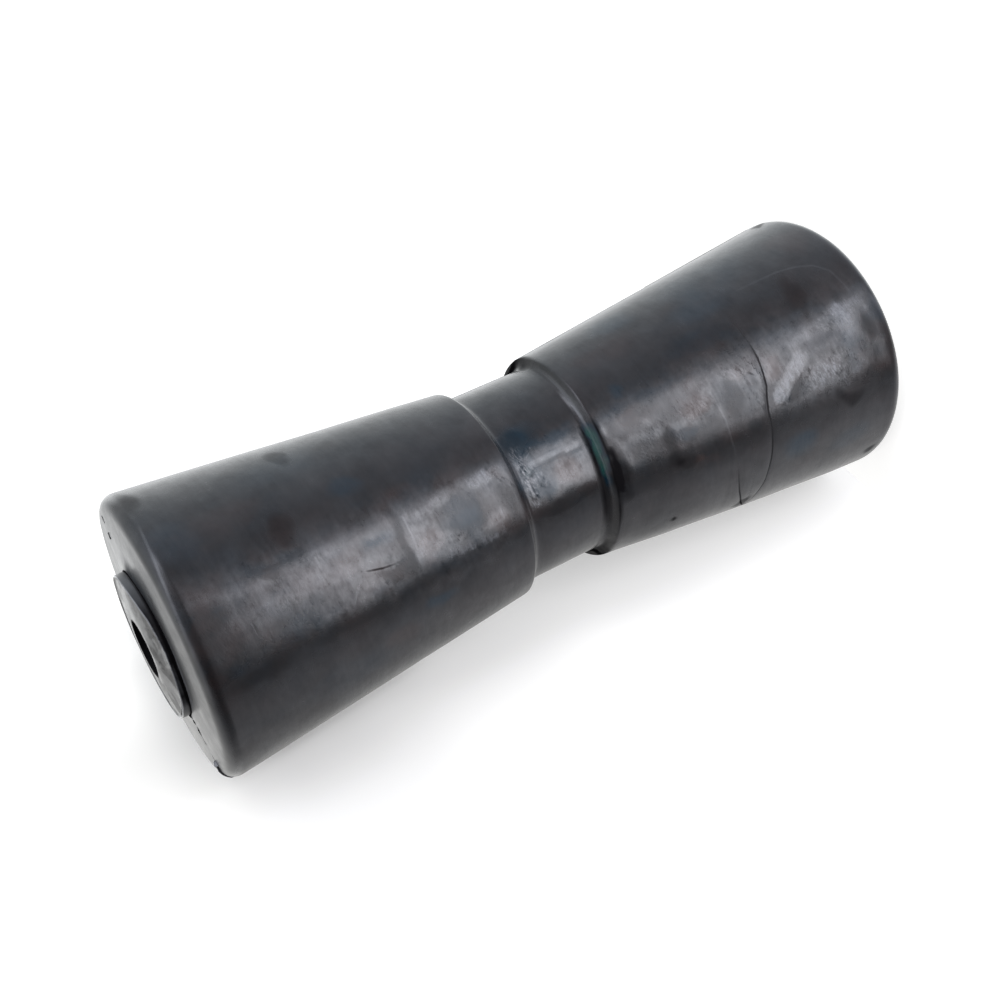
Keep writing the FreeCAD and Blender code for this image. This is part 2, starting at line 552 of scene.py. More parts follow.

# %% [markdown]
# ## Where the skin differs
#
# Used rubber isn't one even black. Handling has left glossy and dull patches, brown and blue
# films, dirt, dust and scuffs. Each is a soft oval or stroke, whose edge is made ragged by
# shifting the place with noise before looking it up. Painted shade darkens the lower step's cove,
# the wall of the upper boss and the end face beside its foot. Fine lines are kept as a distance,
# so that the finish can draw them crisper than the points lie. The results are kept on the points
# as attributes, and the finish reads them.

# %% Lists of patches and lines
# An oval is its height and turn, half sizes in millimetres and degrees, and strength. A stroke is
# two heights and turns, width and strength. A line is turns, heights and strengths as above.
GLOSS = [
    (285, 1, 8, 6.5, -0.9), (285, 14, 9, 8, -0.8), (260, -6.5, 13, 2.4, -0.7), (248, 0, 7, 5, 0.3),
    (225, 0, 5, 2.6, -0.4), (219, 15.5, 7.5, 5.5, -0.8), (262, 16, 16, 4, -0.3),
    (210.5, 8, 2.6, 10, 0.6), (214.8, 5, 1.8, 20, -0.5), (206, 12, 6, 5, 0.7), (200, 16, 8, 3, 0.2),
    (207, -4, 5, 2.5, 0.5), (197, -5, 9, 2.2, 0.5), (177, -8, 9, 4, 0.9),
    (180, 13.5, 3.5, 3.5, 0.7), (173.5, 5, 3, 13, -0.5), (190, 6, 9, 12, -0.4),
    (159, -17, 7, 6, -0.7), (148, 8, 14, 10, 0.3), (112, 3, 16, 12, -0.35), (235, 21, 20, 3, 0.6),
    (266, 8, 8, 5, 0.3), (190, 20.5, 20, 2, 0.7), (148, -8, 12, 2.5, 0.4), (145, 12, 6, 6, 0.5),
    (148, 24.5, 14, 4, -1.2), (195, 28, 18, 4, 0.5), (156, 13, 3, 5, -0.3),
    (133.5, -24, 1.2, 13, 0.8), (129.5, 6, 1.3, 4.5, -1.1), (128, 24, 3.4, 12, -1.2),
    (129.5, -2.5, 2, 2.5, 0.6), (114, 2, 2, 3, 0.5), (114, 15.5, 10, 6, -0.75),
    (107, 15, 3, 6, -0.5), (100, 16, 4, 4, -0.6), (91, 1, 4, 3, -0.4), (93, 6, 6, 5, -0.3),
    (92, 17, 7, 4, -0.3), (79, 10, 4, 9, -0.6), (64, 2, 4, 4, 0.4), (73, 5, 4, 4, 0.25),
    (74, -1, 4, 3, 0.4), (52, 19.5, 5, 2.6, -0.7), (40, 15, 9, 6, 0.9), (23, -6, 6, 6, 1.0),
    (15, -9, 4, 5, 0.5), (27, 18, 6, 4, 0.5), (13, 16, 3, 6, 0.5), (181, -7.5, 8, 3.5, 0.9),
    (159.5, 6, 2, 4, 0.6), (198, 19.5, 8, 3, 0.8), (244, -2.5, 4, 4, 0.3), (243, 15, 6, 4, 0.25),
    (153, 4, 4, 3, -0.25), (153, 22.5, 6, 3, 0.4), (139, 19, 4, 4, 0.3), (195, -6, 5, 3, 0.5),
    (187, 17, 6, 3, 0.5), (157, -10, 3, 3, -0.4), (125.5, 5, 3, 4, -0.5), (38, -19, 6, 4, -0.6),
    (36, 1.5, 7, 2.5, -0.5), (25, 12, 5, 8, -0.4), (16, 5, 3.4, 6.5, -0.7),
    (11.5, 5, 2.5, 12, -0.8), (46, 23, 20, 4, 0.8), (185, 24, 16, 3, 0.5), (64, 3, 3, 5, 0.2),
    (105, 26, 4, 4, -1.2), (76, 21, 9, 2.5, 0.4),
]
GLOSS_STROKES = [
    (250, 4, 222, 9, 2.6, 0.5), (183, -5, 172, -4, 2.2, 0.3), (160, -3, 139, -2.6, 1.0, 0.55),
    (158, 0.2, 138, 0.4, 0.9, -0.6), (126.6, 4, 123, 19, 0.9, 0.6), (61, 17, 47, 4.2, 2.2, 1.8),
    (57, 19.5, 48, 12.5, 1.2, -0.7), (236, 12, 226, 17, 1.6, 0.4), (276, -5, 240, -5, 1.5, 0.3),
    (48, -2, 20, -9, 1.6, 0.5), (120, 8, 100, 11, 1.5, 0.3), (33, 24, 20, 14, 1.6, 0.4),
    (266, 3, 254, 7, 1.6, 0.4), (205, 2, 196, 14, 1.6, 0.3), (96, 10, 88, 1, 1.6, 0.5),
    (25.5, -8, 24.5, 18, 3.0, 0.4),
]
# Dark patches: dirt, and painted shade along the lower step and beside the shoulder of the lower
# cone
DIRT_AND_SHADE_PATCHES = [
    (251, -18.5, 4.5, 8, 0.55), (288.5, -60, 3, 11, 0.45), (237, -57, 3, 8, 0.4),
    (128.6, 24, 3.4, 13, 0.95), (161, -17, 4, 9, 0.25), (156, -20, 6, 5, 0.15),
    (37, -22, 4.5, 9, 0.5), (16, 5, 2.5, 7, 0.4), (74, 76, 4, 5, 0.6), (107, 66, 1.6, 2.2, 0.9),
    (14, -78, 3, 4, 0.5), (275, 26, 12, 4, 0.5), (132.5, 100, 2.4, 30, 1.0),
    (132.5, -100, 2.4, 30, 1.0), (134, 90, 5, 3, 1.0), (134, -90, 5, 3, 1.0),
    (14.5, 70, 2, 3.5, 0.7), (240, 26, 14, 3, 0.3), (155, 25, 8, 4, 0.6), (252, 26, 6, 3, 0.2),
    (107.5, 15, 2.5, 6, 0.4), (107, 25, 5, 4.5, 0.8), (102, 29, 3.5, 4, 0.6),
    (35, 27, 3.5, 3.5, 0.6), (30, 31, 5, 3.5, 0.7), (174, 25, 4, 4, 0.4), (285, 1, 6, 5, 0.35),
    (288, 8, 5, 5, 0.3), (120, 33, 9, 5, 0.2),
]
DIRT_AND_SHADE_STROKES = [(160, 2, 163, 18, 0.8, 0.4), (130.2, 7, 129.8, 30, 0.8, 0.9)]
SCUFF = [
    (161, 0, 3, 5, 0.8), (163, -12, 2.0, 4, 0.6), (157, 7, 2.6, 4, 1.0), (41, 15.5, 9, 6, 1.2),
    (30, 15, 6, 5, 0.5), (30, -5, 6, 3.5, 0.6), (60, 16, 3, 4, 0.6), (74, -1, 5, 3.5, 0.6),
    (234, 9, 3, 3, 0.15), (258, 5, 6, 6, 0.12), (200, 14, 8, 4, 0.25), (94, 6, 7, 5, 0.35),
    (113, 7, 9, 6, 0.25), (104, 15, 3, 2.5, 0.5), (68, 14, 4, 6, 0.3), (232, 15, 8, 4, 0.12),
    (54, 11, 7, 3, 0.3), (114, 16, 9, 5, 0.25), (219, 15, 6, 4, 0.15),
]
SCUFF_STROKES = [
    (162.6, -13, 162.4, 0, 1.5, 1.7), (162.2, 5, 162.2, 19, 1.5, 2.3),
    (160, -8, 156.5, -12, 0.8, 1.2), (176, -8, 170.5, 2, 1.4, 0.6), (164, -24, 160, -14, 0.8, 0.6),
]
BLUE = [
    (53, 45, 7, 8, 1.0), (209, 37, 6, 3.5, 0.9), (225, -27, 6, 5, 0.6), (191, 4, 8, 7, 0.5),
    (189, 12, 5, 9, 0.4), (224, 0, 6, 3, 0.9), (160, -17, 6, 10, 0.7), (153, -22, 7, 6, 0.3),
    (161, -4, 4, 8, 1.0), (161, 6, 5, 9, 0.8), (100, -60, 10, 9, 0.6), (118, -18, 3, 4, 0.6),
    (25, 6, 4.5, 14, 0.6), (101, 15, 5, 3.5, 0.6), (147, -12, 10, 4, 0.8), (70, -40, 12, 10, 0.4),
    (133.4, 6, 1.3, 17, 4.2), (30, 52, 8, 6, 0.5), (60, 16, 4, 3, 0.6), (156, 13, 4, 6, 0.9),
    (262, -8, 14, 3, 0.25), (60, -55, 20, 12, 0.3), (258, 18, 12, 4, 0.3), (110, -9, 25, 3, 0.25),
    (148, 4, 15, 12, 0.6), (284, -30, 8, 9, 0.4), (238, -50, 16, 9, 0.3), (80, -22, 14, 6, 0.3),
    (246, 50, 16, 10, 0.3),
]
BROWN = [
    (251, -18.5, 4.5, 8, 0.25), (98, 30.5, 2.5, 2, 0.5), (37, -22, 4.5, 9, 0.15),
    (32, 28.5, 7, 4, 0.1), (254, 4, 15, 5, 0.3), (93, 5, 6, 5, 0.9), (206, 11, 6, 7, 1.0),
    (146, 9, 5, 8, 0.8), (94, 33, 7, 3, 0.2), (285, 1, 6, 6, 0.2), (60, 4, 4, 6, 0.8),
    (236, 2, 6, 5, 0.5), (228, 15, 9, 5, 0.4), (179, 15, 4, 5, 0.5), (174, -6, 5, 4, 0.4),
    (120, -2, 5, 5, 0.4), (72, 3, 5, 6, 0.4), (262, -33, 14, 8, 0.15), (208, -14, 14, 5, 0.3),
    (225, 45, 8, 6, 0.3), (112, -42, 12, 8, 0.3), (20, -50, 9, 8, 0.3),
]
# Thin grey dust, which is lighter than the rubber and looks as the end faces do
DUST = [(40, 29, 28, 7, 0.4), (262, 31, 22, 6, 0.18), (190, 31, 30, 5, 0.12)]
# A painted highlight along the rounding of the upper end, drawn as a light line
ROUNDING_HIGHLIGHT = [(-44, 289.8, 0.0), (-38, 290.3, 0.5), (-20, 291.8, 0.5), (-2, 292.7, 0.5), (12, 293.0, 0.0)]
HAIRLINE = [
    (-37, 58, 0.0), (-36.5, 53, 0.12), (-35.5, 36, 0.2), (-33.5, 29, 0.22), (-30, 22.5, 0.2),
    (-24, 18.5, 0.2), (-13, 17, 0.1), (4, 18, 0.0),
]
RIM_LINE = [(-6, 211.9, 0.0), (-4, 211.7, 0.5), (8, 211.6, 0.5), (17, 212.4, 0.0)]
# Dark lines: the crack, the crease, the fold and short cracks, with painted shade inside them
DARK_LINES = [
    CRACK, CREASE, FOLD,
    [(0, 70.5, 0.0), (2, 68.5, 0.5), (4.5, 66.5, 0.0)],
    [(-5, 34, 0.0), (-3.5, 31, 0.35), (-2, 28.5, 0.0)],
    [(-8, 32, 0.0), (-6.5, 29.5, 0.3), (-5, 27.5, 0.0)],
    [(7, 272.6, 0.0), (9, 272.4, 0.4), (15, 272.0, 0.0)],
]
# Light lines, lighter in colour and sheen: partly ridges and scuffs, partly painted highlights
# along edges and rings
LIGHT_LINES = [
    SEAM, ROUNDING_HIGHLIGHT, HAIRLINE, RIM_LINE,
    [(9, 177.6, 0.0), (12, 177.5, 0.6), (18, 177.3, 0.0)],
    [(-10, 135.9, 0.0), (-8, 135.7, 1.0), (-2, 135.6, 0.0)],
    [(4, 162.6, 0.0), (7, 162.4, 1.3), (13, 162.2, 1.5), (19, 162.4, 0.0)],
    [(22, 240, 0.0), (17, 238, 0.3), (8, 232, 0.0)],
    [(-75, 133.0, 0.0), (-45, 133.2, 0.6), (-14, 133.4, 1.0), (-7, 133.5, 0.0)],
]


def patches(ovals, strokes, here, ragged):
    """Sum of the ovals and strokes at every point, from the true and the ragged (turn, height)."""
    turn, height = ragged
    stroke_turn, stroke_height = [0.6 * true + 0.4 * moved for true, moved in zip(here, ragged)]
    total = np.zeros(len(turn))
    for at_height, at_turn, tall, wide, strength in ovals:
        far = np.hypot((height - at_height) / tall, (turn - at_turn) / wide)
        total += strength * soft_step(-far, -1.4, -0.45)
    for height_a, turn_a, height_b, turn_b, width, strength in strokes:
        stroke = [(turn_a, height_a, 1.0), (turn_b, height_b, 1.0)]
        far, _ = beside(stroke, stroke_turn, stroke_height)
        total += strength * soft_step(-abs(far) / width, -1.6, -0.6)
    return total


def nearest_line(lines, turn, height):
    """Distance and strength of whichever line is nearest."""
    nearest, strength = beside(lines[0], turn, height)
    for line in lines[1:]:
        far, line_strength = beside(line, turn, height)
        closer = abs(far) < abs(nearest)
        nearest = np.where(closer, far, nearest)
        strength = np.where(closer, line_strength, strength)
    return nearest, strength


def boss_shade(turn, height, off_axis):
    """Painted shade on the wall of the upper boss, and on the end face beside its foot."""
    wall_shade = hump(off_axis - BOSS, 0.35) * (0.35 + 0.65 * soft_step(turn, -40, 0))
    wall_shade *= soft_step(turn, -95, -70) * soft_step(-turn, -64, -46)
    upper = soft_step(-turn, 0, 36)
    reach = 29.0 + 7.0 * upper * soft_step(turn, -84, -48)
    foot_shade = (1.0 - soft_step(off_axis, 27.3, reach)) * (off_axis > 26.9)
    foot_shade *= soft_step(height, 293.0, 294.5) * (0.05 + 0.95 * upper)
    foot_shade *= soft_step(turn, -79, -60) * soft_step(-turn, -75, -55)
    return wall_shade, foot_shade


def keep_marks(piece):
    """Stores on every point what the finish has to know about its place."""
    places = points_of(piece)
    turn, height = turn_of(places), places[:, 2]
    off_axis = np.hypot(places[:, 0], places[:, 1])
    here = (turn, height)
    ragged = (
        turn + 2.6 * uneven(places, 9.0, 3) + 1.6 * uneven(places, 3.5, 4),
        height + 1.8 * uneven(places, 9.0, 5) + 1.2 * uneven(places, 3.5, 6),
    )
    outside = soft_step(off_axis, 33.0, 35.0)
    on_ends = soft_step(abs(height - MIDDLE), 141.3, 143.3)
    wall_shade, foot_shade = boss_shade(turn, height, off_axis)
    # Painted shade in the corners of the lower step's cove, on the camera's side
    cove = soft_step(turn, -14, -6) * soft_step(-turn, -60, -35)
    cove_shade = cove * (hump(height - 131.4, 0.5) + 1.4 * hump(height - 135.2, 0.8))
    dirt_and_shade_cover = patches(DIRT_AND_SHADE_PATCHES, DIRT_AND_SHADE_STROKES, here, ragged) + cove_shade
    dust = patches(DUST, [], here, ragged)
    dark_line, dark_strength = nearest_line(DARK_LINES, turn, height)
    light_line, light_strength = nearest_line(LIGHT_LINES, turn, height)
    marks = {
        # The worn side towards the camera, which is also the band where the soft box is mirrored
        "worn_and_lamp_band": 0.4 + 0.6 * soft_step(turn, -24, -10) * soft_step(-turn, -34, -20),
        "gloss": outside * patches(GLOSS, GLOSS_STROKES, here, ragged),
        # Dirt, with painted shade on the boss's wall and on the end face beside its foot
        "dirt_and_shade": outside * dirt_and_shade_cover + 1.2 * wall_shade + 0.75 * foot_shade,
        "scuff": outside * patches(SCUFF, SCUFF_STROKES, here, ragged),
        # Blue films, with a blue tint painted into the shade beside the boss's foot
        "blue": outside * patches(BLUE, [], here, ragged) + 0.8 * foot_shade,
        "brown": outside * patches(BROWN, [], here, ragged),
        "end_skin": on_ends * (1.0 - wall_shade) + outside * dust,
        "dark_line": dark_line,
        "dark_line_strength": dark_strength * outside,
        "light_line": light_line,
        "light_line_strength": light_strength * outside,
    }
    for name, values in marks.items():
        attribute = piece.data.attributes.new(name, "FLOAT", "POINT")
        attribute.data.foreach_set("value", values.astype(np.float32))
    return marks


marks = keep_marks(rubber)
print("marks kept:", ", ".join(marks))

# %% [markdown]
# ## Node maths as expressions
#
# A finish is mostly arithmetic on sockets. Built one Math node at a time it is hard to read, so
# this class wraps a socket and gives it the usual operators. An expression such as
# `0.3 + 0.2 * mask` then adds its own Math nodes. One more method adds every other kind of node.
# A few helpers do what every finish needs: split a place, mix two colours, fill a ramp.

# %% A socket that can be added and multiplied
class Wire:
    """A socket of a node tree, with operators that add Math nodes."""

    def __init__(self, tree, socket=None):
        self.tree = tree
        self.socket = socket

    def node(self, kind, settings=None, inputs=None, output=0):
        """Adds a node, sets it up, fills its inputs with values or wires, and returns an output."""
        made = self.tree.nodes.new(kind)
        for key, value in (settings or {}).items():
            if key == "stops":
                set_stops(made.color_ramp, value)
            else:
                setattr(made, key, value)
        for key, value in (inputs or {}).items():
            if isinstance(value, Wire):
                self.tree.links.new(value.socket, made.inputs[key])
            else:
                made.inputs[key].default_value = value
        return Wire(self.tree, made.outputs[output] if made.outputs else None)

    def math(self, operation, *values):
        inputs = dict(enumerate((self,) + values))
        return self.node("ShaderNodeMath", {"operation": operation}, inputs)

    def __add__(self, other):
        return self.math("ADD", other)

    __radd__ = __add__

    def __mul__(self, other):
        return self.math("MULTIPLY", other)

    __rmul__ = __mul__

    def __sub__(self, other):
        return self.math("SUBTRACT", other)

    def __rsub__(self, other):
        return self * -1.0 + other

    def __truediv__(self, other):
        return self.math("DIVIDE", other)

    def __abs__(self):
        return self.math("ABSOLUTE")

    def at_least(self, low):
        return self.math("MAXIMUM", low)

    def at_most(self, high):
        return self.math("MINIMUM", high)

    def step(self, low, high):
        """0 below low, 1 above high, with a soft ramp between. It falls where low is above high."""
        start, end = (0.0, 1.0) if low < high else (1.0, 0.0)
        inputs = {"Value": self, "From Min": min(low, high), "From Max": max(low, high)}
        inputs.update({"To Min": start, "To Max": end})
        return self.node("ShaderNodeMapRange", {"interpolation_type": "SMOOTHSTEP"}, inputs)

    def near(self, value, far, close):
        """1 within the close distance of a value, 0 beyond the far one."""
        return abs(self - value).step(far, close)

    def parts(self):
        """X, Y and Z of a vector."""
        return [self.node("ShaderNodeSeparateXYZ", None, {0: self}, i) for i in range(3)]


def mix_colour(factor, first, second):
    inputs = {"Factor": factor, 6: first, 7: second}
    return factor.node("ShaderNodeMix", {"data_type": "RGBA"}, inputs, output=2)


def empty_finish(name):
    """A material without nodes, and a wire to start from."""
    finish = bpy.data.materials.new(name)
    finish.use_nodes = True
    finish.node_tree.nodes.clear()
    return finish, Wire(finish.node_tree)


def set_stops(ramp, stops):
    """Fills a colour ramp with (place, grey or colour) stops."""
    while len(ramp.elements) > 1:
        ramp.elements.remove(ramp.elements[-1])
    for number, (place, colour) in enumerate(stops):
        element = ramp.elements[0] if number == 0 else ramp.elements.new(place)
        element.position = place
        if isinstance(colour, (int, float)):
            colour = (colour, colour, colour)
        element.color = (*colour, 1.0)


# %% [markdown]
# ## The studio
#
# Around black rubber there is hardly any light to see but what it mirrors, so the studio is made
# as what a mirror would see. The world gives the room: bright paper behind the roller, a dimmer
# ceiling above, a dark gap in front under the soft box, and the table with the roller's own
# shadow on it. Three ramps over the turn about the axis hold what is low, level and high. Seen
# directly, the world is white.

# %% World
# Turn in degrees, light
LOW_LIGHT = [
    (-180, 0.95), (-170, 1.15), (-160, 1.3), (-148, 1.36), (-135, 1.26), (-120, 1.12),
    (-100, 1.03), (-80, 1.02), (-65, 0.84), (-50, 0.64), (-38, 0.62), (-26, 0.95), (-12, 1.9),
    (0, 1.5), (30, 0.6), (45, 0.25), (56, 0.24), (66, 0.5), (80, 0.8), (95, 0.76), (110, 0.62),
    (130, 0.56), (150, 0.52), (168, 0.5), (180, 0.6),
]
LEVEL_LIGHT = [
    (-180, 1.4), (-165, 1.8), (-150, 1.6), (-130, 1.35), (-100, 1.2), (-84, 1.2), (-60, 0.9),
    (-42, 0.6), (-20, 0.3), (0, 0.3), (20, 0.15), (42, 0.08), (60, 0.12), (84, 0.25),
    (100, 0.45), (124, 0.62), (145, 0.8), (165, 1.05), (180, 1.3),
]
HIGH_LIGHT = [
    (-180, 1.0), (-165, 0.95), (-150, 0.62), (-137, 0.55), (-125, 0.75), (-105, 0.92), (-90, 1.1),
    (-66, 1.2), (-57, 3.8), (-49, 3.6), (-42, 0.9), (-20, 0.7), (5, 0.6), (20, 0.3),
    (38, 0.02), (60, 0.02), (80, 0.2), (95, 0.26), (112, 0.5), (135, 0.68), (160, 0.85),
    (180, 1.0),
]
ZENITH_LIGHT = 1.5
# Turn in degrees, colour of the light
ROOM_TINT = [
    (-180, (0.99, 1.0, 1.00)), (-140, (0.97, 1.0, 1.02)), (-120, (0.945, 1.0, 1.04)),
    (-100, (0.93, 1.0, 1.08)), (-60, (0.96, 1.0, 1.13)), (0, (1.0, 1.0, 1.11)),
    (80, (1.0, 1.0, 1.08)), (120, (1.0, 1.0, 1.03)), (160, (1.0, 1.0, 0.98)),
    (180, (1.0, 1.0, 0.99)),
]
# The ramps hold the light divided by this
RAMP_SCALE = 2.0


def ramp_over(turn, rows):
    """A colour ramp whose stops are given by turns in degrees."""
    stops = [((degrees + 180) / 360, colour) for degrees, colour in rows]
    return turn.node("ShaderNodeValToRGB", {"stops": stops}, {0: turn})


def add_studio():
    """The world, as functions of the direction that is looked in."""
    world = bpy.data.worlds.new("studio")
    bpy.context.scene.world = world
    world.use_nodes = True
    world.node_tree.nodes.clear()
    start = Wire(world.node_tree)
    x, y, z = start.node("ShaderNodeTexCoord", output="Generated").parts()
    turn = (x * -1.0).math("ARCTAN2", y * -1.0) / math.tau + 0.5
    low, level, high = [
        ramp_over(turn, [(degrees, light / RAMP_SCALE) for degrees, light in rows]) * RAMP_SCALE
        for rows in (LOW_LIGHT, LEVEL_LIGHT, HIGH_LIGHT)
    ]
    room = low + z.step(-0.14, 0.0) * (level - low)
    room = room + z.step(0.10, 0.28) * (high - room)
    light = room + z.step(0.82, 0.97) * (ZENITH_LIGHT - room)
    light = light * (1.0 + 0.35 * z.step(-0.33, -0.5) * turn.step(0.72, 0.83))
    seen = start.node("ShaderNodeLightPath", output="Is Camera Ray")
    tint = mix_colour(seen, ramp_over(turn, ROOM_TINT), (1.0, 1.0, 1.0, 1.0))
    strength = light + seen * (1.0 - light)
    background = start.node("ShaderNodeBackground", None, {"Color": tint, "Strength": strength})
    start.node("ShaderNodeOutputWorld", None, {"Surface": background})
    return world


studio = add_studio()
print("nodes of the world:", len(studio.node_tree.nodes))

# %% [markdown]
# The soft box that makes the band along the cones is a real lamp near the roller. The band fades
# towards the upper end, because from there the mirrored ray passes beside the box. No world at
# an endless distance could do that.

# %% Soft box
BOX_TURN = math.radians(12.0)
BOX_HEIGHT = -0.115
BOX_DISTANCE = 0.6
BOX_SIZE = (0.58, 0.27)
BOX_GLOW = 4.6
BOX_COLOUR = (0.97, 0.98, 1.05)


def add_soft_box(name):
    """A lamp that faces the axis. Its energy follows from its size and from how bright it looks."""
    outwards = Vector((-math.sin(BOX_TURN), -math.cos(BOX_TURN), 0.0))
    place = outwards * BOX_DISTANCE + Vector((0, 0, BOX_HEIGHT))
    bpy.ops.object.light_add(type="AREA", location=place)
    lamp = bpy.context.object
    lamp.name = name
    lamp.rotation_euler = outwards.to_track_quat("Z", "Y").to_euler()
    lamp.data.shape = "RECTANGLE"
    lamp.data.size, lamp.data.size_y = BOX_SIZE
    lamp.data.energy = BOX_GLOW * BOX_SIZE[0] * BOX_SIZE[1] * math.pi
    lamp.data.color = BOX_COLOUR
    lamp.visible_camera = False
    return lamp


soft_box = add_soft_box("soft_box")
bpy.context.scene.view_settings.view_transform = "Standard"
print("soft box energy:", round(soft_box.data.energy, 2))

# %% [markdown]
# ## Floor and table card
#
# The roller stands on a plain pale floor. In the photograph it lies on a table, and the table's
# soft shadow is part of the picture. So a card as pale as the floor touches the roller's two rims
# on the side away from the camera and takes that shadow. It is one-sided, so it hides nothing
# from behind. Neither is mirrored in the rubber: the studio already has a table in it.
#
# Both glow as well as take light. The glow makes the shadow as soft and as strong as in the
# photograph, so the card's is a sum of parts, each with its own borders.

# %% Floor and card
STAGE_SIDE = 8.0
END_RIM_RADIUS = 0.05240
CARD_DIRECTION = math.radians(127.8)
FLOOR_PAPER = 0.5
CARD_PAPER = 0.64
PAPER_TINT = (1.045, 1.03, 0.955)
# The tint beyond the roller's near end, which evens out the bluish light there
NEAR_END_TINT = (1.060, 1.03, 0.925)
CARD_GLOW = 0.31
# Glow, and where it is: steps from 0 to 1 along X, then steps along the height
CARD_GLOWS = [
    (0.12, [(-0.035, -0.06)], []),
    (-0.055, [(-0.036, -0.026)], [(0.195, 0.225)]),
    (0.06, [(-0.03, -0.045)], [(0.12, 0.15), (0.235, 0.20)]),
    (-0.03, [(-0.06, -0.05)], [(0.225, 0.245), (0.28, 0.265)]),
    (0.025, [(-0.035, -0.05)], [(0.10, 0.13), (0.22, 0.18)]),
    (0.12, [(0.03, 0.045)], [(0.27, 0.285)]),
    (0.03, [], [(0.18, 0.13)]),
    (0.05, [(-0.02, -0.06)], [(0.18, 0.13)]),
    (0.30, [(0.045, 0.085)], []),
    (0.22, [], [(0.285, 0.317)]),
    (0.25, [], [(0.318, 0.365)]),
    (0.20, [(-0.01, 0.03)], [(0.29, 0.31)]),
    (0.32, [(0.02, 0.05)], [(0.03, 0.0)]),
]


def stage_finish(name, glow, paper, one_sided):
    """Paper that takes light and shadow, with a glow that makes it white away from the roller.

    The glow is a function that gets the place's X and Y as wires and gives a wire.
    """
    finish, start = empty_finish(name)
    x, y, z = start.node("ShaderNodeTexCoord", output="Object").parts()
    low, high = [[paper * part for part in tint] + [1.0] for tint in (PAPER_TINT, NEAR_END_TINT)]
    colour = mix_colour(y.step(0.27, 0.31), low, high)
    lit = start.node("ShaderNodeBsdfDiffuse", None, {"Color": colour})
    shine = start.node("ShaderNodeEmission", None, {"Strength": glow(x, y)})
    surface = start.node("ShaderNodeAddShader", None, {0: lit, 1: shine})
    if one_sided:
        away_side = start.node("ShaderNodeNewGeometry", output="Backfacing")
        clear = start.node("ShaderNodeBsdfTransparent")
        surface = start.node("ShaderNodeMixShader", None, {0: away_side, 1: surface, 2: clear})
    start.node("ShaderNodeOutputMaterial", None, {"Surface": surface})
    return finish


def floor_glow(x, y):
    # Glow, brighter towards the camera's side: a painted pool of light from the soft box
    return 0.72 + 0.30 * y.step(0.0, -0.06)


def card_glow(x, y):
    """X runs along the card, Y is the height. The shadow of contact leans along the cone."""
    contact = 0.07 * (x + y * 0.11 - 0.022).step(-0.0245, -0.0205) * x.step(-0.004, -0.018)
    glow = CARD_GLOW - contact * y.step(0.2, 0.22) * y.step(0.282, 0.265)
    for part, along, up in CARD_GLOWS:
        for low, high in along:
            part = x.step(low, high) * part
        for low, high in up:
            part = y.step(low, high) * part
        glow = glow + part
    return glow


def add_stage_plane(name, place, turn, finish):
    """A large plane that shows in the picture, and neither shades nor is mirrored."""
    bpy.ops.mesh.primitive_plane_add(size=STAGE_SIDE, location=place, rotation=turn)
    plane = bpy.context.object
    plane.name = name
    plane.data.materials.append(finish)
    for ray in ("diffuse", "glossy", "transmission", "shadow"):
        setattr(plane, "visible_" + ray, False)
    return plane


floor_paper = stage_finish("floor_paper", floor_glow, FLOOR_PAPER, False)
card_paper = stage_finish("card_paper", card_glow, CARD_PAPER, True)
floor = add_stage_plane("floor", (0, 0, 0), (0, 0, 0), floor_paper)
away = Vector((math.cos(CARD_DIRECTION), math.sin(CARD_DIRECTION), 0.0))
upright = (math.pi / 2, 0, CARD_DIRECTION - math.pi / 2)
card = add_stage_plane("table_card", away * END_RIM_RADIUS, upright, card_paper)
print("stage:", floor.name, "and", card.name)

# %% [markdown]
# ## The rubber's finish
#
# Black rubber shows by its sheen, so most of the differences are in how strong and how sharp the
# mirrored light is. A thin coat stands for the waxy film on moulded rubber: where it is thick the
# soft box shows bright, and where it is gone the rubber looks dead. Noise of several sizes breaks
# up the sheen, most of all on the worn band where the soft box is mirrored, and on the scuffs.
# Dirt and painted shade take the place of the rubber altogether; the shade is painted in the bore,
# in corners, on the boss's wall and along the dark lines. Painted highlights lighten the grey where
# the band is brightest, on the bead of the boss's rim and along the light lines, and painted light
# lifts the end face beside the boss. The films and the dust only change the colour; on the band the
# films also paint the tint of the mirrored light.

# %% Rubber finish
SKIN_BLACK = (0.0095, 0.0092, 0.0096)
BLUE_FILM = (0.0025, 0.0140, 0.0235)
GREEN_FILM = (0.008, 0.050, 0.042)
BROWN_FILM = (0.0310, 0.0160, 0.0125)
# Grey of the painted highlight in the soft box's band
BAND_HIGHLIGHT_GREY = (0.15, 0.155, 0.165)
END_GREY = (0.045, 0.046, 0.047)
# Grey of the painted light beside the foot of the upper boss
FOOT_LIGHT_GREY = (0.16, 0.162, 0.165)
# Grey of the light lines, partly painted highlights
LINE_GREY = (0.12, 0.125, 0.13)
# Grey of the painted highlight on the boss's bead
RIM_GREY = (0.22, 0.225, 0.23)
TORN_GREY = (0.55, 0.56, 0.56)
# Black of the dirt and of the painted shade
DIRT_AND_SHADE_BLACK = (0.006, 0.0055, 0.006)
# X and height of the pale tear on the crescent
TEAR_PLACE = (-45.6, 294.8)
RELIEF = 0.06
COAT_ROUGHNESS = 0.25
SPECULAR = 0.3


def noise_at(place, size, detail, stretch=(1.0, 1.0, 1.0), lean=0.0):
    """Noise between 0 and 1 with features of about the given size in millimetres."""
    turned = place.node("ShaderNodeMapping", None, {"Vector": place, "Rotation": (0.0, lean, 0.0)})
    spread = place.node("ShaderNodeMapping", None, {"Vector": turned, "Scale": stretch})
    inputs = {"Vector": spread, "Scale": 1.0 / (size * MM), "Detail": detail, "Roughness": 0.6}
    return place.node("ShaderNodeTexNoise", None, inputs)


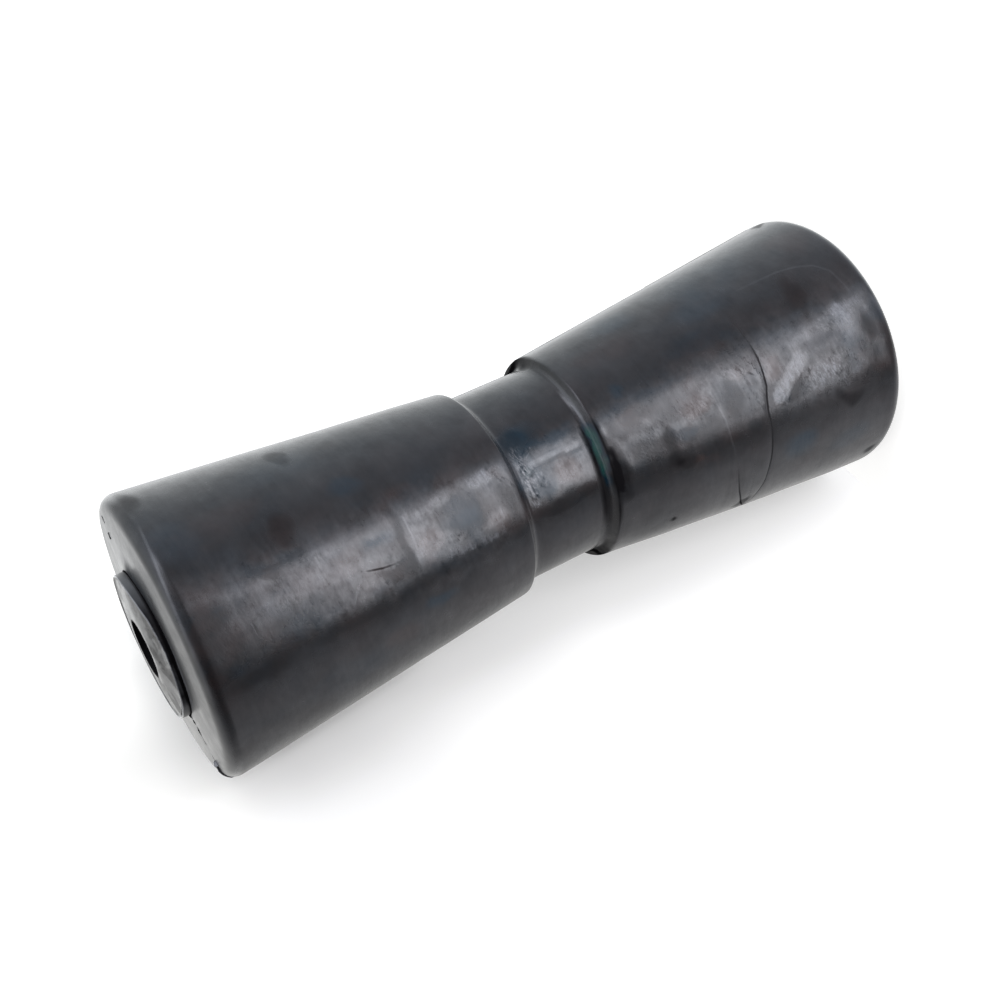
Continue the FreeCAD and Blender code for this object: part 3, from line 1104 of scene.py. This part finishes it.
def kept(start, name):
    """What was kept on the points under a name."""
    return start.node("ShaderNodeAttribute", {"attribute_name": name}, output="Fac")


def line_of(start, name, wide):
    """A crisp line where the kept distance is small, as strong as its kept strength."""
    return kept(start, name).near(0.0, wide, 0.1) * kept(start, name + "_strength")


def add_rubber_finish():
    finish, start = empty_finish("black_rubber")
    place = start.node("ShaderNodeTexCoord", output="Object")
    worn_and_lamp_band, gloss, dirt_and_shade, scuff, blue, brown, end_skin = [
        kept(start, name)
        for name in ("worn_and_lamp_band", "gloss", "dirt_and_shade", "scuff", "blue", "brown", "end_skin")
    ]

    # Places that follow from the shape
    x, y, z = place.parts()
    off_axis = (x * x + y * y).math("SQRT") / MM
    from_middle = abs(z / MM - MIDDLE)
    # Painted shade in the corner at the foot of the upper boss
    foot = off_axis.near(BOSS, 0.5, 0.2) * from_middle.near(145.7, 0.9, 0.3)
    # Painted light on the end face beside the boss's foot, which lightens where the face mirrors
    # the boss's dark wall
    foot_painted_light = off_axis.near(27.6, 2.6, 0.3) * off_axis.step(27.0, 27.3)
    foot_painted_light = foot_painted_light * z.step(0.290, 0.294) * x.step(0.006, -0.012)
    # Painted shade inside the bore
    inside_bore = off_axis.step(11.2, 10.3)
    on_boss = off_axis.step(26.6, 26.2) * from_middle.step(145.9, 146.4)
    # Painted highlight on the bead round the rim of the upper boss
    rim_edge = off_axis.near(RIM_BEAD, 0.38, 0.25) * from_middle.step(146.6, 147.0)
    # Painted shade in the groove inside the bead, on the camera's side
    rim_groove = off_axis.near(RIM_GROOVE, 0.6, 0.3) * on_boss * y.step(0.0, -0.005)
    from_tear_x, from_tear_z = x / MM - TEAR_PLACE[0], z / MM - TEAR_PLACE[1]
    torn_edge = (from_tear_x * from_tear_x + from_tear_z * from_tear_z).step(1.4, 0.5)
    torn_edge = torn_edge * y.near(0.0, 0.0006, 0.0004)

    # Noise, and the fine lines
    cloud = noise_at(place, 24.0, 3.0) - 0.5
    mottle = noise_at(place, 7.0, 5.0) - 0.5
    fine = noise_at(place, 2.4, 4.0, (1.0, 1.0, 1.5)) - 0.5
    grain = noise_at(place, 1.8, 5.0, (1.0, 1.0, 3.2), 0.4) + mottle * 0.35 + fine * 0.3
    fleck = grain.step(0.48, 0.62)
    pit = grain.step(0.42, 0.28)
    streak = noise_at(place, 14.0, 4.0, (1.0, 1.0, 10.0), 0.12) - 0.5
    film = noise_at(place, 14.0, 4.0, (1.1, 0.9, 0.8)) - 0.5
    dark_line = line_of(start, "dark_line", 0.55)
    light_line = line_of(start, "light_line", 0.7)

    # How strong and how sharp the mirrored light is
    broken = 1.0 + mottle * 2.2 + fine * 2.0 + streak * 1.5
    texture = mottle * 1.6 + fine * 0.8 + streak * 1.1 + (grain - 0.5) * 0.4 - pit * 0.12
    sheen = gloss * broken + cloud * 1.1 + mottle * 0.3 + texture * worn_and_lamp_band * (1.0 - end_skin * 0.7)
    sheen = sheen + scuff * (fleck * 1.1 - pit * 0.9 + 0.12) + light_line * (0.9 + mottle * 2.0)
    sheen = sheen - dirt_and_shade * broken - dark_line * 1.3 + on_boss * mottle * 3.0 + rim_edge
    coat = sheen.step(-0.95, 1.2)
    dull = dirt_and_shade * 0.32 + end_skin * (0.10 + mottle * 0.25) + dark_line * 0.4
    dull = dull + mottle * 0.12 + scuff * 0.05
    roughness = (dull + 0.25).at_least(0.15)

    # Where dirt and painted shade take the place of the rubber
    # Random dark patches on the boss's face, and the painted shade in the rim's groove
    patchy = on_boss * (mottle + film).step(0.06, -0.12) * 0.4 + rim_groove * 0.6
    # Share of dirt and painted shade: dirt patches, and painted shade at the boss's foot, in the
    # bore, in the rim's groove and along the dark lines
    dead = dirt_and_shade * (1.0 + mottle * 1.5) * 0.75 - 0.1 + foot + inside_bore
    dead = dead + dark_line * 0.5 + patchy + pit * worn_and_lamp_band * 0.25
    dead = dead.at_least(0.0).at_most(0.95)

    # Colours, each laid over the ones before
    end_tone = end_skin * (0.6 + mottle * (1.0 + on_boss * 3.0))
    # The films show most on the band where the soft box is mirrored: partly real film, partly the
    # painted tint of the mirrored light
    tint = film * (worn_and_lamp_band * 2.4 - 0.3)
    # A painted highlight: lighter grey where the sheen is strongest, on the band where the soft box
    # is mirrored
    band_highlight = ((sheen - 0.95) * 0.3).at_least(0.0) * worn_and_lamp_band.step(0.5, 1.0)
    layers = [
        ((blue + tint).at_least(0.0), BLUE_FILM),
        ((blue * 0.5 - 0.8).at_least(0.0), GREEN_FILM),
        ((brown - tint).at_least(0.0), BROWN_FILM),
        (band_highlight.at_most(1.0), BAND_HIGHLIGHT_GREY),
        (end_tone.at_most(1.0), END_GREY),
        (foot_painted_light * 0.6, FOOT_LIGHT_GREY),
        # Light lines, partly painted highlights
        (light_line * 0.35, LINE_GREY),
        (rim_edge, RIM_GREY),
        (torn_edge, TORN_GREY),
    ]
    colour = (*SKIN_BLACK, 1.0)
    for share, layer in layers:
        colour = mix_colour(share, colour, (*layer, 1.0))

    # Relief and shaders
    relief = fine * 0.5 + grain * 0.4 + scuff * (grain * 2.5 + fine * 3.0)
    relief = relief - dark_line * 0.8 + light_line * 0.5
    bumps = {"Strength": 1.0, "Distance": RELIEF * MM, "Height": relief}
    bumped = start.node("ShaderNodeBump", None, bumps)
    shader = start.node(
        "ShaderNodeBsdfPrincipled",
        None,
        {
            "Base Color": colour,
            "Roughness": roughness,
            "Normal": bumped,
            "Coat Weight": coat,
            "Coat Roughness": COAT_ROUGHNESS,
            "Specular IOR Level": SPECULAR,
        },
    )
    dirt_and_shade_cover = start.node("ShaderNodeBsdfDiffuse", None, {"Color": (*DIRT_AND_SHADE_BLACK, 1.0)})
    surface = start.node("ShaderNodeMixShader", None, {0: dead, 1: shader, 2: dirt_and_shade_cover})
    start.node("ShaderNodeOutputMaterial", None, {"Surface": surface})
    return finish


rubber.data.materials.clear()
rubber.data.materials.append(add_rubber_finish())
print("nodes of the finish:", len(rubber.active_material.node_tree.nodes))
